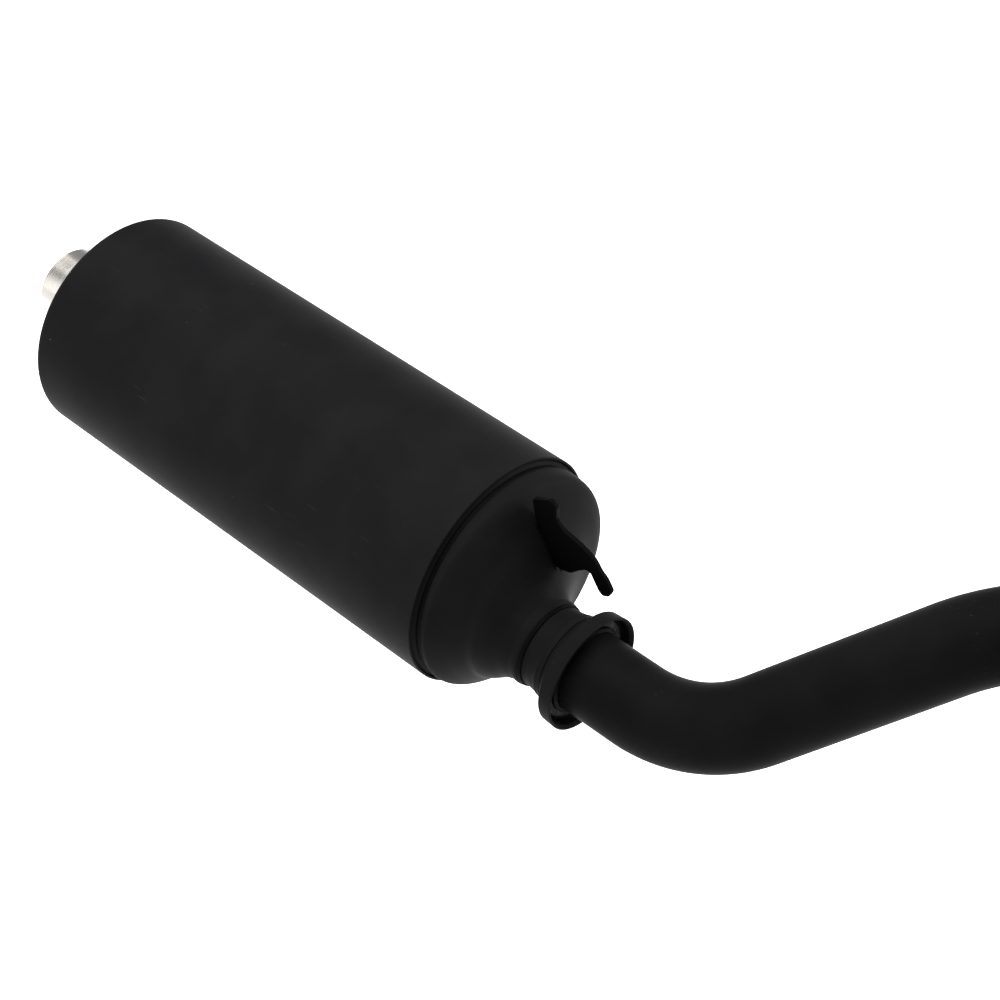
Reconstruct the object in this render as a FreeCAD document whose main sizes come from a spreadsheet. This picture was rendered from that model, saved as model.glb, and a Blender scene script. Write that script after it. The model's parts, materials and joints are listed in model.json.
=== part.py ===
"""Racing exhaust: a round muffler with an eccentric inlet cone, a socket with a donut
gasket, and a bent three-piece head pipe that ends in a loose two-bolt port flange.

+X runs along the muffler's axis from the outlet to the inlet, +Z is up, and the origin
is on that axis at the middle of the shell.
"""
import FreeCAD, Part
import math
import os
import Sketcher

V = FreeCAD.Vector
X_AXIS = V(1, 0, 0)
Z_AXIS = V(0, 0, 1)

# Driving dimensions, in millimetres and degrees.
SIZES = {
    "shell_radius": 76.2,
    "shell_wall": 1.6,
    "lip_height": 9.4,
    "lip_round": 8.5,
    "fit_gap": 0.1,
    "outlet_face": -170.2,
    "inlet_face": 171.0,
    "cap_radius": 67.4,
    "cap_rise_outer": 61.0,
    "cap_rise_inner": 57.0,
    "cap_rise": 2.85,
    "cap_boss_radius": 31.5,
    "cap_boss_height": 4.8,
    "tip_radius": 27.0,
    "tip_bore": 25.5,
    "tip_stand": 57.0,
    "tip_spigot": 26.4,
    "tip_depth": 4.0,
    "bead_width": 2.0,
    "core_radius": 25.4,
    "core_bore": 24.2,
    "core_front": 156.0,
    "core_rear": -165.0,
    "hole_radius": 2.6,
    "hole_pitch": 15.0,
    "hole_rows": 18,
    "hole_turns": 5,
    "baffle_front": 150.0,
    "baffle_rear": -160.0,
    "baffle_skirt": 8.0,
    "baffle_collar": 4.0,
    "collar_wall": 2.2,
    "sheet": 1.5,
    "end_gap": 0.5,
    "wool_radius": 31.0,
    "inlet_offset": -23.6,
    "skirt_depth": 8.0,
    "groove_radius": 71.4,
    "groove_length": 4.4,
    "shoulder_radius": 72.5,
    "shoulder_length": 6.0,
    "cone_length": 54.0,
    "neck_radius": 27.6,
    "neck_bore": 26.1,
    "neck_length": 61.0,
    "cone_wall": 2.2,
    "sleeve_start": 54.5,
    "sleeve_radius": 26.0,
    "sleeve_swell": 27.6,
    "sleeve_bore": 24.2,
    "cup_flare": 31.5,
    "cup_band": 35.6,
    "cup_rim": 37.0,
    "cup_bore": 34.3,
    "ball_place": 114.4,
    "ball_radius": 43.6,
    "donut_radius": 32.4,
    "donut_back": 81.2,
    "donut_front": 88.0,
    "donut_bore": 26.7,
    "ring_height": 2.4,
    "plate_thickness": 3.0,
    "plate_side": 5.0,
    "plate_rounding": 1.4,
    "pipe_radius": 25.4,
    "pipe_bore": 23.9,
    "pipe_start": 82.0,
    "pipe_lead": 127.0,
    "bend_radius": 90.0,
    "rising_heading": 39.24,
    "rising_pitch": 34.74,
    "rising_run": 111.0,
    "port_heading": 42.85,
    "port_pitch": 4.07,
    "port_run": 80.0,
    "ferrule_radius": 28.0,
    "ferrule_length": 16.0,
    "flare_radius": 31.5,
    "flare_length": 4.0,
    "flange_thickness": 9.0,
    "flange_bore": 28.3,
    "flange_waist": 38.0,
    "stud_circle": 82.0,
    "stud_hole": 9.0,
    "ear_radius": 12.0,
}

doc = FreeCAD.newDocument("racing_exhaust")
sheet = doc.addObject("Spreadsheet::Sheet", "Size")
for row, (alias, number) in enumerate(SIZES.items(), start=1):
    sheet.set("A%d" % row, alias)
    sheet.set("B%d" % row, str(number))
    sheet.setAlias("B%d" % row, alias)
doc.recompute()

subparts = []


def size(alias):
    """The number in the sheet's cell of this name."""
    return float(getattr(sheet, alias))


def bound(text):
    """An expression in words, with each alias pointed at the sheet."""
    words = [("Size." + word) if word in SIZES else word for word in text.split()]
    return " ".join(words)


def new_body(label):
    body = doc.addObject("PartDesign::Body", label)
    body.Label = label
    subparts.append(body)
    return body


def new_sketch(body, name, role, offset=None):
    """A sketch on one of the body's own origin planes, moved along its normal."""
    sketch = body.newObject("Sketcher::SketchObject", name)
    plane = [feature for feature in body.Origin.OriginFeatures if feature.Role == role][0]
    sketch.AttachmentSupport = (plane, [""])
    sketch.MapMode = "FlatFace"
    if offset is not None:
        sketch.AttachmentOffset = FreeCAD.Placement(V(0, 0, offset), FreeCAD.Rotation())
    return sketch


def add_outline(sketch, corners):
    """A closed outline whose corners are pairs of expressions, across and up."""
    count = len(corners)
    for index in range(count):
        turn = 2 * math.pi * index / count
        after = 2 * math.pi * (index + 1) / count
        start = V(100 * math.cos(turn), 100 * math.sin(turn), 0)
        end = V(100 * math.cos(after), 100 * math.sin(after), 0)
        sketch.addGeometry(Part.LineSegment(start, end), False)
    for index in range(count):
        sketch.addConstraint(Sketcher.Constraint("Coincident", index, 2, (index + 1) % count, 1))
    for index, corner in enumerate(corners):
        for kind, text in zip(("DistanceX", "DistanceY"), corner):
            number = sketch.addConstraint(Sketcher.Constraint(kind, -1, 1, index, 1, 10.0))
            sketch.setExpression("Constraints[%d]" % number, bound(text))


def add_circle(sketch, radius, across="0", up="0"):
    """A circle whose radius and centre are expressions."""
    index = sketch.addGeometry(Part.Circle(V(10, 10, 0), Z_AXIS, 20), False)
    number = sketch.addConstraint(Sketcher.Constraint("Radius", index, 20.0))
    sketch.setExpression("Constraints[%d]" % number, bound(radius))
    for kind, text in (("DistanceX", across), ("DistanceY", up)):
        number = sketch.addConstraint(Sketcher.Constraint(kind, -1, 1, index, 3, 10.0))
        sketch.setExpression("Constraints[%d]" % number, bound(text))


def turned(body, name, corners, kind="PartDesign::Revolution"):
    """A feature turned about the body's X axis from an outline of places and radii."""
    sketch = new_sketch(body, name + "_outline", "XZ_Plane")
    add_outline(sketch, corners)
    feature = body.newObject(kind, name)
    feature.Profile = sketch
    feature.ReferenceAxis = (sketch, ["H_Axis"])
    feature.Angle = 360.0
    return feature


def ring_body(label, corners, offset=True):
    """A turned sub-part; with an offset it is on the inlet's axis, else on the muffler's."""
    body = new_body(label)
    turned(body, label + "_ring", corners)
    if offset:
        body.setExpression("Placement.Base.y", bound("inlet_offset"))
    return body


def circles_at(shape, place, radius):
    """The names of the round edges at this place along X with this radius."""
    names = []
    for index, edge in enumerate(shape.Edges, start=1):
        curve = edge.Curve
        if isinstance(curve, Part.Circle) and abs(curve.Radius - radius) < 0.02:
            if abs(curve.Center.x - place) < 0.02:
                names.append("Edge%d" % index)
    return names


def rounded(body, name, places, radius):
    """Rounds the round edges at (place, radius) pairs of the body's last feature."""
    doc.recompute()
    base = body.Tip
    names = []
    for place, edge_radius in places:
        names += circles_at(base.Shape, place, edge_radius)
    fillet = body.newObject("PartDesign::Fillet", name)
    fillet.Base = (base, names)
    fillet.Radius = radius
    body.Tip = fillet
    return fillet


def make_shell():
    """The rolled canister, whose outlet end is turned in as a rounded lip."""
    corners = [
        ("inlet_face", "shell_radius"),
        ("outlet_face", "shell_radius"),
        ("outlet_face", "shell_radius - lip_height"),
        ("outlet_face + shell_wall", "shell_radius - lip_height"),
        ("outlet_face + shell_wall", "shell_radius - shell_wall"),
        ("inlet_face", "shell_radius - shell_wall"),
    ]
    body = ring_body("canister_shell", corners, offset=False)
    rear = size("outlet_face")
    radius = size("shell_radius")
    wall = size("shell_wall")
    rounded(body, "lip_outside", [(rear, radius)], size("lip_round"))
    inside = rounded(body, "lip_inside", [(rear + wall, radius - wall)], 1.0)
    inside.setExpression("Radius", bound("lip_round - shell_wall"))


def make_outlet_cap():
    """A pressed end plate with a raised middle and a boss round the outlet."""
    seat = "outlet_face + shell_wall + fit_gap"
    corners = [
        (seat, "cap_radius"),
        (seat, "cap_rise_outer"),
        (seat + " - cap_rise", "cap_rise_inner"),
        (seat + " - cap_rise", "cap_boss_radius"),
        (seat + " - cap_rise - cap_boss_height", "tip_radius + 2"),
        (seat + " - cap_rise - cap_boss_height", "tip_spigot + fit_gap"),
        (seat + " - cap_rise + shell_wall", "tip_spigot + fit_gap"),
        (seat + " - cap_rise + shell_wall", "cap_rise_inner - 1"),
        (seat + " + shell_wall", "cap_rise_outer - 1"),
        (seat + " + shell_wall", "cap_radius"),
    ]
    ring_body("outlet_cap", corners, offset=False)


def make_outlet():
    """The bright tip, stepped down where it enters the cap, and its weld to the cap."""
    bead_place = "outlet_face + shell_wall + fit_gap - cap_rise - cap_boss_height"
    step = bead_place + " - bead_width - fit_gap - fit_gap"
    tip = [
        ("outlet_face - tip_stand", "tip_radius"),
        (step, "tip_radius"),
        (step, "tip_spigot"),
        ("outlet_face + tip_depth", "tip_spigot"),
        ("outlet_face + tip_depth", "tip_bore"),
        ("outlet_face - tip_stand", "tip_bore"),
    ]
    body = ring_body("outlet_tip", tip, offset=False)
    end = size("outlet_face") - size("tip_stand")
    rounded(body, "tip_edge", [(end, size("tip_radius")), (end, size("tip_bore"))], 0.6)
    bead = [
        (bead_place + " - bead_width", "tip_spigot + 0.05"),
        (bead_place + " - 1.4", "tip_radius + 1.5"),
        (bead_place, "tip_radius + 2.4"),
        (bead_place, "tip_spigot + 0.05"),
    ]
    ring_body("outlet_weld", bead, offset=False)


def make_core():
    """The perforated core tube, which runs from the front baffle to the outlet tip."""
    corners = [
        ("core_rear", "core_radius"),
        ("core_front", "core_radius"),
        ("core_front", "core_bore"),
        ("core_rear", "core_bore"),
    ]
    body = ring_body("perforated_core", corners, offset=False)
    pitch = size("hole_pitch")
    rows = int(size("hole_rows"))
    turns = int(size("hole_turns"))
    drill = new_sketch(body, "perforation_outline", "XY_Plane")
    add_circle(drill, "hole_radius", "baffle_rear + 2 * hole_pitch")
    pocket = body.newObject("PartDesign::Pocket", "perforation")
    pocket.Profile = drill
    pocket.Type = "ThroughAll"
    pocket.Midplane = True
    doc.recompute()
    around = body.newObject("PartDesign::MultiTransform", "perforations")
    around.Originals = [pocket]
    x_axis = [feature for feature in body.Origin.OriginFeatures if feature.Role == "X_Axis"][0]
    along = body.newObject("PartDesign::LinearPattern", "perforation_rows")
    along.Direction = (x_axis, [""])
    along.Length = pitch * (rows - 1)
    along.Occurrences = rows
    spread = body.newObject("PartDesign::PolarPattern", "perforation_turns")
    spread.Axis = (x_axis, [""])
    # Each hole goes right through the tube, so half a turn covers the whole of it.
    spread.Angle = 180.0 - 180.0 / turns
    spread.Occurrences = turns
    around.Transformations = [along, spread]
    body.Tip = around


def make_filling():
    """The baffles that hold the core, and the wool and fibre packed between them."""
    inside = "shell_radius - shell_wall - 0.2"
    hole = "core_radius + fit_gap"
    front = [
        ("baffle_front", inside),
        ("baffle_front", hole),
        ("baffle_front + baffle_collar", hole),
        ("baffle_front + baffle_collar", "core_radius + collar_wall"),
        ("baffle_front + sheet", "core_radius + collar_wall"),
        ("baffle_front + sheet", inside + " - sheet"),
        ("baffle_front + baffle_skirt", inside + " - sheet"),
        ("baffle_front + baffle_skirt", inside),
    ]
    rear = [
        ("baffle_rear", inside),
        ("baffle_rear", hole),
        ("baffle_rear + sheet", hole),
        ("baffle_rear + sheet", inside + " - sheet"),
        ("baffle_rear + baffle_skirt", inside + " - sheet"),
        ("baffle_rear + baffle_skirt", inside),
    ]
    ring_body("front_baffle", front, offset=False)
    ring_body("rear_baffle", rear, offset=False)
    back = "baffle_rear + baffle_skirt + end_gap"
    wool = [
        (back, "wool_radius"),
        ("baffle_front - end_gap", "wool_radius"),
        ("baffle_front - end_gap", hole),
        (back, hole),
    ]
    packing = [
        (back, inside + " - 0.2"),
        ("baffle_front - end_gap", inside + " - 0.2"),
        ("baffle_front - end_gap", "wool_radius + fit_gap"),
        (back, "wool_radius + fit_gap"),
    ]
    ring_body("steel_wool_wrap", wool, offset=False)
    ring_body("fibre_packing", packing, offset=False)


# The cone between its shoulder and its neck: shares of its length, narrowing and drift,
# and the lean of each section in degrees, which brings the far side forward.
CONE_SHAPE = [(0.0, 0.0, 0.0, 0.0), (0.17, 0.025, 0.045, 3.6), (0.33, 0.21, 0.075, 2.6),
              (0.46, 0.425, 0.265, 0.8), (0.58, 0.585, 0.515, 0.0), (0.71, 0.75, 0.735, 0.0),
              (0.85, 0.9, 0.885, 0.0), (1.0, 1.0, 1.0, 0.0)]


def cone_sections(body, name, thinner):
    """The cone's round sections, which drift sideways and lean as they narrow."""
    sections = []
    for number, (share, narrowed, drift, lean) in enumerate(CONE_SHAPE):
        place = size("inlet_face") + size("shoulder_length")
        place += share * (size("cone_length") - size("shoulder_length"))
        sketch = new_sketch(body, "%s_%d" % (name, number), "YZ_Plane", place)
        # A section leans about its own middle.
        swing = FreeCAD.Rotation(V(0, 1, 0), -lean)
        middle = V(size("inlet_offset") * drift, 0, 0)
        shift = middle - swing.multVec(middle)
        sketch.AttachmentOffset = FreeCAD.Placement(V(0, 0, place) + shift, swing)
        radius = "shoulder_radius - ( shoulder_radius - neck_radius ) * %g - %s" % (
            narrowed, thinner)
        add_circle(sketch, radius, "inlet_offset * %g" % drift)
        sections.append(sketch)
    return sections


def make_cone():
    """The spun inlet cone: skirt in the shell, weld groove, shoulder, cone and neck."""
    body = new_body("inlet_cone")
    skirt = "shell_radius - shell_wall - 0.2"
    outside = [
        ("inlet_face - skirt_depth", "0"),
        ("inlet_face - skirt_depth", skirt),
        ("inlet_face - 1", skirt),
        ("inlet_face + 0.6", "groove_radius"),
        ("inlet_face + groove_length", "groove_radius"),
        ("inlet_face + shoulder_length", "shoulder_radius"),
        ("inlet_face + shoulder_length", "0"),
    ]
    turned(body, "skirt", outside)
    outer = cone_sections(body, "outer_section", "0")
    loft = body.newObject("PartDesign::AdditiveLoft", "cone_outside")
    loft.Profile = outer[0]
    loft.Sections = outer[1:]
    neck = new_sketch(body, "neck_outline", "YZ_Plane", size("inlet_face") + size("cone_length"))
    add_circle(neck, "neck_radius", "inlet_offset")
    pad = body.newObject("PartDesign::Pad", "neck")
    pad.Profile = neck
    pad.setExpression("Length", bound("neck_length - cone_length"))
    doc.recompute()
    inner = cone_sections(body, "inner_section", "cone_wall")
    hollow = body.newObject("PartDesign::SubtractiveLoft", "cone_inside")
    hollow.Profile = inner[0]
    hollow.Sections = inner[1:]
    bore = new_sketch(body, "bore_outline", "YZ_Plane", size("inlet_face") + size("cone_length"))
    add_circle(bore, "neck_bore", "inlet_offset")
    pocket = body.newObject("PartDesign::Pocket", "neck_inside")
    pocket.Profile = bore
    pocket.Reversed = True
    pocket.setExpression("Length", bound("neck_length - cone_length + 1"))
    inside = [
        ("inlet_face - skirt_depth - 1", "0"),
        ("inlet_face - skirt_depth - 1", skirt + " - 1.6"),
        ("inlet_face - 3", skirt + " - 1.6"),
        ("inlet_face - 0.6", "shoulder_radius - cone_wall"),
        ("inlet_face + shoulder_length", "shoulder_radius - cone_wall"),
        ("inlet_face + shoulder_length", "0"),
    ]
    turned(body, "skirt_inside", inside, "PartDesign::Groove")


def make_cone_weld():
    """The bead that joins the cone to the shell, lying in the groove."""
    corners = [
        ("inlet_face - 0.4", "groove_radius + 2.8"),
        ("inlet_face + 0.8", "groove_radius + 2.6"),
        ("inlet_face + 1.9", "groove_radius + 1.6"),
        ("inlet_face + 2.4", "groove_radius + 0.1"),
        ("inlet_face + 0.7", "groove_radius + 0.1"),
    ]
    ring_body("cone_weld", corners, offset=False)


def make_socket():
    """The flaring sleeve in the neck and the wide cup that holds the donut gasket."""
    sleeve = [
        ("inlet_face + sleeve_start", "sleeve_radius"),
        ("inlet_face + 67", "sleeve_radius"),
        ("inlet_face + 71", "sleeve_radius + 0.6"),
        ("inlet_face + 75", "sleeve_swell"),
        ("inlet_face + 78.6", "sleeve_swell"),
        ("inlet_face + 78.6", "sleeve_bore + 1.2"),
        ("inlet_face + 76", "sleeve_bore + 1.2"),
        ("inlet_face + 68", "sleeve_bore"),
        ("inlet_face + sleeve_start", "sleeve_bore"),
    ]
    ring_body("socket_sleeve", sleeve)
    neck_bead = [
        ("inlet_face + neck_length - 0.8", "neck_radius + 0.1"),
        ("inlet_face + neck_length + 0.6", "neck_radius"),
        ("inlet_face + neck_length + 1.7", "neck_radius - 0.6"),
        ("inlet_face + neck_length + 2.3", "sleeve_radius + 0.05"),
        ("inlet_face + neck_length", "sleeve_radius + 0.05"),
    ]
    ring_body("neck_weld", neck_bead)
    cup = [
        ("inlet_face + 78.8", "sleeve_bore + 1.3"),
        ("inlet_face + 78.8", "sleeve_swell + 0.3"),
        ("inlet_face + 82", "cup_flare"),
        ("inlet_face + 84.6", "cup_band - 1.1"),
        ("inlet_face + 85.2", "cup_band"),
        ("inlet_face + 91.6", "cup_band + 0.4"),
        ("inlet_face + 92.2", "cup_rim"),
        ("inlet_face + 94.5", "cup_rim"),
        ("inlet_face + 94.5", "cup_bore + 0.9"),
        ("inlet_face + 93.4", "cup_bore"),
        ("inlet_face + 86.6", "cup_bore"),
    ]
    for place in (84.6, 82.6, 80.6):
        away = size("ball_place") - place
        seat = math.sqrt((size("ball_radius") + 0.4) ** 2 - away ** 2)
        cup.append(("inlet_face + %g" % place, "%.3f" % seat))
    ring_body("gasket_cup", cup)
    cup_bead = [
        ("inlet_face + 77.3", "sleeve_swell + 0.05"),
        ("inlet_face + 77.9", "sleeve_swell + 0.7"),
        ("inlet_face + 79.2", "sleeve_swell + 1"),
        ("inlet_face + 79.2", "sleeve_swell + 0.05"),
    ]
    ring_body("cup_weld", cup_bead)


def make_hook_plate():
    """A flat plate welded upright on the cone, with a finger that points over the neck."""
    body = new_body("hook_plate")
    sketch = new_sketch(body, "plate_outline", "XZ_Plane")
    corners = [(26.2, 53.5), (22.5, 72.5), (36.2, 80.2), (40.6, 77.0), (40.9, 66.5),
               (46.0, 62.6), (59.5, 59.5), (69.5, 55.2), (74.4, 48.6), (78.8, 45.4),
               (83.6, 38.4), (81.6, 33.4), (76.8, 30.8), (73.6, 33.4), (67.2, 43.4),
               (63.8, 43.2), (58.4, 38.6), (52.5, 32.5), (45.5, 30.5), (41.6, 30.6),
               (37.5, 37.6), (30.5, 49.0)]
    add_outline(sketch, [("inlet_face + %g" % along, "%g" % up) for along, up in corners])
    pad = body.newObject("PartDesign::Pad", "plate")
    pad.Profile = sketch
    pad.Midplane = True
    pad.setExpression("Length", bound("plate_thickness"))
    doc.recompute()
    rounded_corners = []
    for index, edge in enumerate(pad.Shape.Edges, start=1):
        across = edge.Vertexes[0].Point - edge.Vertexes[1].Point
        middle = edge.CenterOfMass
        high = middle.z > size("shoulder_radius") + 4
        outer_end = middle.x > size("inlet_face") + 70
        if abs(across.x) + abs(across.z) < 0.01 and (high or outer_end):
            rounded_corners.append("Edge%d" % index)
    fillet = body.newObject("PartDesign::Fillet", "plate_corners")
    fillet.Base = (pad, rounded_corners)
    fillet.Radius = size("plate_rounding")
    body.Tip = fillet
    body.setExpression("Placement.Base.y", bound("plate_side"))


def make_donut():
    """The graphite donut, whose ball face rocks in the cup, on its thin steel sleeve."""
    body = new_body("donut_gasket")
    ball = size("ball_radius")
    rim = size("donut_radius")
    bore = size("donut_bore")
    centre = V(size("inlet_face") + size("ball_place"), 0, 0)
    back = size("donut_back") - size("ball_place")
    edge = -math.sqrt(ball ** 2 - rim ** 2)
    half = (back + edge) / 2
    front = size("donut_front") - size("ball_place")
    start = centre + V(back, math.sqrt(ball ** 2 - back ** 2), 0)
    middle = centre + V(half, math.sqrt(ball ** 2 - half ** 2), 0)
    corners = [start, centre + V(edge, rim, 0), centre + V(front, rim, 0),
               centre + V(front, bore, 0), centre + V(back, bore, 0)]
    sketch = new_sketch(body, "donut_outline", "XZ_Plane")
    sketch.addGeometry(Part.Arc(start, middle, corners[1]), False)
    for first, second in ((1, 2), (2, 3), (3, 4), (4, 0)):
        sketch.addGeometry(Part.LineSegment(corners[first], corners[second]), False)
    ring = body.newObject("PartDesign::Revolution", "donut")
    ring.Profile = sketch
    ring.ReferenceAxis = (sketch, ["H_Axis"])
    ring.Angle = 360.0
    body.setExpression("Placement.Base.y", bound("inlet_offset"))
    sleeve = [
        ("inlet_face + donut_back - 0.3", "pipe_radius + fit_gap"),
        ("inlet_face + donut_back - 0.3", "donut_bore - 0.02"),
        ("inlet_face + donut_front", "donut_bore - 0.02"),
        ("inlet_face + donut_front", "pipe_radius + fit_gap"),
    ]
    ring_body("gasket_sleeve", sleeve)


def heading(azimuth, pitch):
    """A unit vector from its heading about +Z and its pitch above the level."""
    turn = math.radians(azimuth)
    rise = math.radians(pitch)
    return V(math.cos(rise) * math.cos(turn), math.cos(rise) * math.sin(turn), math.sin(rise))


def pipe_corners():
    """The four corners of the pipe's centre line: start, two bends, port end."""
    rising = heading(size("rising_heading"), size("rising_pitch"))
    level = heading(size("port_heading"), size("port_pitch"))
    bend = size("bend_radius")
    first = bend * math.tan(X_AXIS.getAngle(rising) / 2)
    second = bend * math.tan(rising.getAngle(level) / 2)
    side = size("inlet_offset")
    start = V(size("inlet_face") + size("pipe_start"), side, 0)
    bottom = V(size("inlet_face") + size("pipe_lead") + first, side, 0)
    top = bottom + rising * (first + size("rising_run") + second)
    end = top + level * (second + size("port_run"))
    return [start, bottom, top, end]


def tube_along(label, edges, start, direction):
    """A tube swept along a route that leaves its start in a direction."""
    route = doc.addObject("Part::Feature", label + "_route")
    route.Shape = Part.Wire(edges)
    walls = []
    for side, alias in (("outside", "pipe_radius"), ("inside", "pipe_bore")):
        ring = doc.addObject("Part::Circle", "%s_%s_section" % (label, side))
        ring.setExpression("Radius", bound(alias))
        ring.Placement = FreeCAD.Placement(start, FreeCAD.Rotation(Z_AXIS, direction))
        sweep = doc.addObject("Part::Sweep", "%s_%s" % (label, side))
        sweep.Sections = [ring]
        sweep.Spine = (route, ["Edge%d" % (index + 1) for index in range(len(edges))])
        sweep.Solid = True
        sweep.Frenet = False
        walls.append(sweep)
    tube = doc.addObject("Part::Cut", label)
    tube.Label = label
    tube.Base = walls[0]
    tube.Tool = walls[1]
    subparts.append(tube)
    return route.Shape.Length


def make_head_pipe():
    """Two bends, each with the straight run before it, and the straight tube to the port."""
    corners = pipe_corners()
    bend = size("bend_radius")
    last = corners[0]
    length = 0.0
    labels = ("lower_bend", "upper_bend")
    for label, before, corner, after in zip(labels, corners, corners[1:], corners[2:]):
        arriving = (corner - before).normalize()
        leaving = (after - corner).normalize()
        half_turn = arriving.getAngle(leaving) / 2
        reach = bend * math.tan(half_turn)
        inward = (leaving - arriving).normalize()
        middle = corner + inward * (bend / math.cos(half_turn) - bend)
        enter = corner - arriving * reach
        leave = corner + leaving * reach
        edges = [Part.LineSegment(last, enter).toShape(), Part.Arc(enter, middle, leave).toShape()]
        length += tube_along(label, edges, last, arriving)
        last = leave
    straight = Part.LineSegment(last, corners[-1]).toShape()
    leaving = (corners[-1] - last).normalize()
    length += tube_along("port_tube", [straight], last, leaving)
    print("pipe length %.1f mm" % length)


def make_seat_ring():
    """The ring welded on the pipe that bears on the donut gasket."""
    corners = [
        ("inlet_face + donut_front + 0.3", "pipe_radius + 0.02"),
        ("inlet_face + donut_front + 0.3", "pipe_radius + ring_height"),
        ("inlet_face + donut_front + 1.6", "pipe_radius + ring_height"),
        ("inlet_face + donut_front + 2.8", "pipe_radius + 0.02"),
    ]
    ring_body("pipe_seat_ring", corners)


def port_placement():
    """The port's own frame: +X out of the pipe, level side to side, at the flare's face."""
    end = pipe_corners()[-1]
    swing = FreeCAD.Rotation(Z_AXIS, size("port_heading"))
    lift = FreeCAD.Rotation(V(0, 1, 0), -size("port_pitch"))
    return FreeCAD.Placement(end, swing.multiply(lift))


def port_body(label, corners):
    body = ring_body(label, corners, offset=False)
    body.Placement = port_placement()


def make_port_end():
    """The flared ferrule on the pipe's end, its weld, and the crush gasket before it."""
    ferrule = [
        ("0 - ferrule_length", "pipe_radius + 0.02"),
        ("0 - ferrule_length", "ferrule_radius"),
        ("0 - flare_length", "ferrule_radius"),
        ("0 - flare_length", "flare_radius"),
        ("0.5", "flare_radius"),
        ("0.5", "pipe_radius + 0.02"),
    ]
    port_body("port_ferrule", ferrule)
    bead = [
        ("0 - ferrule_length - 2", "pipe_radius + 0.02"),
        ("0 - ferrule_length - 1.3", "pipe_radius + 1.3"),
        ("0 - ferrule_length", "ferrule_radius - 0.4"),
        ("0 - ferrule_length", "pipe_radius + 0.02"),
    ]
    port_body("ferrule_weld", bead)
    gasket = [
        ("0.6", "pipe_bore + 0.5"),
        ("0.6", "flare_radius - 0.5"),
        ("3.4", "flare_radius - 0.5"),
        ("3.4", "pipe_bore + 0.5"),
    ]
    port_body("port_gasket", gasket)


def make_port_flange():
    """The loose flange behind the flare: a waist with two ears, one stud hole in each."""
    body = new_body("port_flange")
    waist = size("flange_waist")
    ear = size("ear_radius")
    reach = size("stud_circle") / 2
    lean = math.acos((waist - ear) / reach)
    sketch = new_sketch(body, "flange_outline", "YZ_Plane")
    ends = []
    for side in (1, -1):
        for up in (1, -1):
            way = V(side * math.cos(lean), up * math.sin(lean), 0)
            ends.append((V(side * reach, 0, 0) + way * ear, way * waist))
    sketch.addGeometry(Part.Arc(ends[0][0], V(reach + ear, 0, 0), ends[1][0]), False)
    sketch.addGeometry(Part.LineSegment(ends[1][0], ends[1][1]), False)
    sketch.addGeometry(Part.Arc(ends[1][1], V(0, -waist, 0), ends[3][1]), False)
    sketch.addGeometry(Part.LineSegment(ends[3][1], ends[3][0]), False)
    sketch.addGeometry(Part.Arc(ends[3][0], V(-reach - ear, 0, 0), ends[2][0]), False)
    sketch.addGeometry(Part.LineSegment(ends[2][0], ends[2][1]), False)
    sketch.addGeometry(Part.Arc(ends[2][1], V(0, waist, 0), ends[0][1]), False)
    sketch.addGeometry(Part.LineSegment(ends[0][1], ends[0][0]), False)
    sketch.AttachmentOffset = FreeCAD.Placement(V(0, 0, -size("flare_length") - 0.3),
                                                FreeCAD.Rotation())
    pad = body.newObject("PartDesign::Pad", "flange_plate")
    pad.Profile = sketch
    pad.Reversed = True
    pad.setExpression("Length", bound("flange_thickness"))
    doc.recompute()
    holes = new_sketch(body, "flange_holes", "YZ_Plane")
    add_circle(holes, "flange_bore")
    add_circle(holes, "stud_hole / 2", "stud_circle / 2")
    add_circle(holes, "stud_hole / 2", "0 - stud_circle / 2")
    pocket = body.newObject("PartDesign::Pocket", "flange_cut")
    pocket.Profile = holes
    pocket.Type = "ThroughAll"
    pocket.Midplane = True
    doc.recompute()
    rims = []
    for index, edge in enumerate(pocket.Shape.Edges, start=1):
        on_face = abs(edge.Vertexes[0].X - edge.Vertexes[-1].X) < 0.01
        outside = edge.CenterOfMass.sub(V(edge.CenterOfMass.x, 0, 0)).Length
        if on_face and (outside > 30 and not edge.isClosed()):
            rims.append("Edge%d" % index)
    chamfer = body.newObject("PartDesign::Chamfer", "flange_edges")
    chamfer.Base = (pocket, rims)
    chamfer.Size = 0.8
    body.Tip = chamfer
    body.Placement = port_placement()


make_shell()
make_outlet_cap()
make_outlet()
make_core()
make_filling()
make_cone()
make_cone_weld()
make_socket()
make_hook_plate()
make_donut()
make_head_pipe()
make_seat_ring()
make_port_end()
make_port_flange()
doc.recompute()

for item in doc.Objects:
    if "Invalid" in item.State or "Error" in item.State:
        raise RuntimeError("%s did not compute: %s" % (item.Label, item.State))
for part in subparts:
    shape = part.Shape
    if shape.isNull() or not shape.isValid() or not shape.Solids:
        raise RuntimeError("%s has no valid solid" % part.Label)

os.makedirs("parts", exist_ok=True)
for part in subparts:
    part.Shape.exportStep("parts/%s.step" % part.Label)
    print("%-18s solids %d  volume %.0f mm3" % (
        part.Label, len(part.Shape.Solids), part.Shape.Volume))
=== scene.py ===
"""Looks of the racing exhaust: camera, light, coatings, weld beads and pressed detail.

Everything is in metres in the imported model's frame: +X runs along the muffler from the
outlet to the inlet, +Z is up, and the origin is at the middle of the canister's axis.
"""
import json
import math
import random

import bmesh
import bpy
from mathutils import Matrix, Vector


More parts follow.
